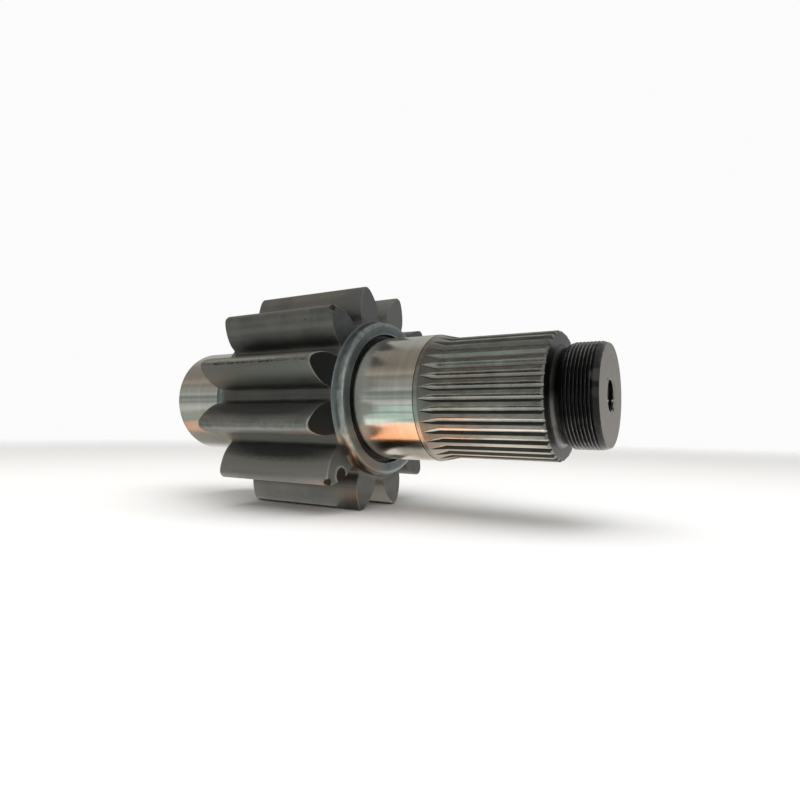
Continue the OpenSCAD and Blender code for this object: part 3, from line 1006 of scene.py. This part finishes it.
def makeFloor():
    # A round sheet that fades out into the pale room
    s = studio
    z = s["floorZ"] * mm
    rim = [(s["radius"] * math.cos(a), s["radius"] * math.sin(a), z) for a in evenAngles(s["rimPoints"])]
    data = bpy.data.meshes.new("floor")
    data.from_pydata(rim, [], [tuple(range(s["rimPoints"]))])
    floor = addObject("floor", data)
    material, tree, shader = newMaterial("paleFloor")
    place = node(tree, "TexCoord").outputs["Object"]
    grain = node(tree, "TexNoise", {"Vector": place, "Scale": 30.0, "Detail": 3.0}).outputs["Fac"]
    tint = [c * s["grain"] for c in s["floorColor"]]
    tree.links.new(mixColor(tree, grain, tint, s["floorColor"]), shader.inputs["Base Color"])
    far = node(tree, "VectorMath", {0: place}, operation="LENGTH").outputs["Value"]
    fade = node(tree, "MapRange", {"Value": far, "From Min": s["fadeFrom"],
                                   "From Max": s["radius"] * s["fadeTo"], "To Min": 1.0, "To Max": 0.0},
                interpolation_type="SMOOTHSTEP")
    tree.links.new(fade.outputs["Result"], shader.inputs["Alpha"])
    shader.inputs["Roughness"].default_value = 0.8
    shader.inputs["Specular IOR Level"].default_value = 0.1
    data.materials.append(material)


makeFloor()


# Sheets just over the floor that show only in reflections: dark ones for the shaft's own
# shade, and a green one with grey streaks that the ground steel mirrors
green, streak = (0.78, 0.93, 0.89), (0.38, 0.46, 0.43)
shadeCards = {  # x from and to, y from and to, colour
    "frontShade": (-0.018, 0.06, -0.036, -0.015, (0.05, 0.033, 0.023)),
    "rearShade": (-0.34, -0.15, -0.22, 0.02, (0.50, 0.50, 0.46)),
    "greenNear": (-0.14, 0.06, -0.098, -0.090, green),
    "streakNear": (-0.14, 0.06, -0.105, -0.098, streak),
    "greenMiddle": (-0.14, 0.06, -0.146, -0.105, green),
    "streakMiddle": (-0.14, 0.06, -0.160, -0.146, streak),
    "greenFar": (-0.14, 0.06, -0.265, -0.160, green),
    "streakFar": (-0.14, 0.06, -0.300, -0.265, (0.30, 0.40, 0.38)),
}


def makeShadeCards():
    z = studio["cardZ"] * mm
    for name, (x0, x1, y0, y1, color) in shadeCards.items():
        data = bpy.data.meshes.new(name)
        data.from_pydata([(x0, y0, z), (x1, y0, z), (x1, y1, z), (x0, y1, z)], [], [(0, 1, 2, 3)])
        card = addObject(name, data)
        material, tree, shader = newMaterial(name)
        shader.inputs["Base Color"].default_value = (*color, 1.0)
        shader.inputs["Roughness"].default_value = 0.9
        shader.inputs["Specular IOR Level"].default_value = 0.0
        data.materials.append(material)
        card.visible_camera = card.visible_diffuse = card.visible_shadow = False


makeShadeCards()

# The overhead light and rightSoft give the soft shading. The others, most of them low strips
# just over the floor, only show as reflections in the steel.
lights = {  # place, target, size, power in watts, colour
    "overhead": ((0.05, -0.15, 0.95), (0, 0, 0), (1.4, 1.0), 10.5, (0.98, 0.99, 1.0)),
    "rightSoft": ((0.9, -0.5, 0.55), (0.1, 0, 0), (0.5, 0.5), 1.0, (1.0, 0.97, 0.93)),
    "lowGreen": ((-0.1, -0.27, -0.0715), "up", (0.6, 0.36), 0.052, (0.10, 1.0, 0.85)),
    "lowWarmFront": ((0.0115, -0.0615, -0.0715), "up", (0.077, 0.053), 0.027, (1.0, 0.36, 0.10)),
    "lowWarmRear": ((-0.20, -0.0585, -0.0715), "up", (0.10, 0.045), 0.011, (1.0, 0.34, 0.07)),
    "lowFill": ((-0.085, -0.06, -0.0713), "up", (0.12, 0.09), 0.036, (1.0, 1.0, 0.97)),
    "lowUnder": ((-0.055, 0.015, -0.0713), "up", (0.10, 0.05), 0.014, (1.0, 0.95, 0.88)),
    "lowSpline": ((0.065, -0.03, -0.0713), "up", (0.09, 0.09), 0.017, (1.0, 0.9, 0.78)),
    "lowNeck": ((0.085, -0.035, -0.0712), "up", (0.05, 0.06), 0.012, (1.0, 0.93, 0.85)),
    "lowBack": ((0.0, 0.065, -0.0715), "up", (0.35, 0.15), 0.065, (1.0, 0.88, 0.74)),
    "lowSplineBack": ((0.07, 0.04, -0.0713), "up", (0.09, 0.07), 0.018, (1.0, 0.94, 0.86)),
    "sideSoft": ((0.95, 0.0, 0.05), (0, 0, 0), (0.25, 0.5), 1.5, (0.98, 1.0, 1.0)),
}
notMirrored = ["overhead"]
shadingLights = ["overhead", "rightSoft"]


def makeLights():
    for name, (place, target, size, power, color) in lights.items():
        data = bpy.data.lights.new(name, "AREA")
        data.shape = "RECTANGLE"
        data.size, data.size_y = size
        data.energy = power
        data.color = color
        light = addObject(name, data)
        way = Vector((0, 0, 1)) if target == "up" else Vector(target) - Vector(place)
        light.location = place
        light.rotation_mode = "QUATERNION"
        light.rotation_quaternion = way.to_track_quat("-Z", "Y")
        light.visible_camera = False
        light.visible_glossy = name not in notMirrored
        light.visible_diffuse = name in shadingLights


makeLights()

# The room's colours by angle: level in front (0), straight up (0.5), level behind (1). Downwards
# it is the same as upwards.
room = {
    "front": (0.62, 0.70, 0.68), "back": (0.92, 0.92, 0.92), "seen": (0.97, 0.97, 0.97),
    "bands": [(0.028, (0.42, 0.46, 0.44)), (0.05, (0.40, 0.43, 0.42)), (0.066, (0.80, 0.81, 0.80)),
              (0.088, (0.78, 0.79, 0.78)), (0.105, (0.60, 0.61, 0.60)), (0.16, (0.60, 0.60, 0.56)),
              (0.19, (0.45, 0.42, 0.38)), (0.218, (0.47, 0.42, 0.38)), (0.228, (0.76, 0.68, 0.62)),
              (0.245, (0.70, 0.62, 0.56)), (0.265, (0.58, 0.51, 0.45)), (0.31, (0.46, 0.40, 0.35)),
              (0.50, (0.45, 0.40, 0.35)), (0.57, (0.56, 0.53, 0.48)), (0.64, (0.68, 0.68, 0.63)),
              (0.84, (0.62, 0.63, 0.59)), (0.89, (0.12, 0.12, 0.11)), (0.94, (0.12, 0.12, 0.11)),
              (0.965, (0.90, 0.90, 0.89))],
    "rightNear": 0.70, "rightFar": 0.68, "rightFull": 0.35, "rightDepth": 0.8,
}


def makeWorld():
    world = bpy.data.worlds.new("paleRoom")
    world.use_nodes = True
    tree = world.node_tree
    background = tree.nodes["Background"]
    split = node(tree, "SeparateXYZ", {0: node(tree, "TexCoord").outputs["Generated"]})
    frontness = mathNode(tree, "MULTIPLY", split.outputs[1], -1.0)
    height = mathNode(tree, "ARCTAN2", mathNode(tree, "ABSOLUTE", split.outputs[2]), frontness)
    ramp = node(tree, "ValToRGB", {"Fac": mathNode(tree, "DIVIDE", height, math.pi)})
    stops = ramp.color_ramp.elements
    stops[0].color = (*room["front"], 1.0)
    stops[1].color = (*room["back"], 1.0)
    for place, color in room["bands"]:
        stops.new(place).color = (*color, 1.0)
    # Towards the shaft's threaded end the room is plain
    side = rangeNode(tree, split.outputs[0], 0.0, room["rightFull"])
    plain = rangeNode(tree, split.outputs[1], -room["rightDepth"], room["rightDepth"],
                      room["rightNear"], room["rightFar"])
    grey = node(tree, "CombineXYZ", {0: plain, 1: plain, 2: plain}).outputs[0]
    lit = mixColor(tree, side, ramp.outputs["Color"], grey)
    seen = node(tree, "LightPath").outputs["Is Camera Ray"]
    tree.links.new(mixColor(tree, seen, lit, room["seen"]), background.inputs["Color"])
    background.inputs["Strength"].default_value = 1.0
    bpy.context.scene.world = world


makeWorld()
bpy.context.scene.view_settings.view_transform = "Standard"
print("camera, floor and lights made")
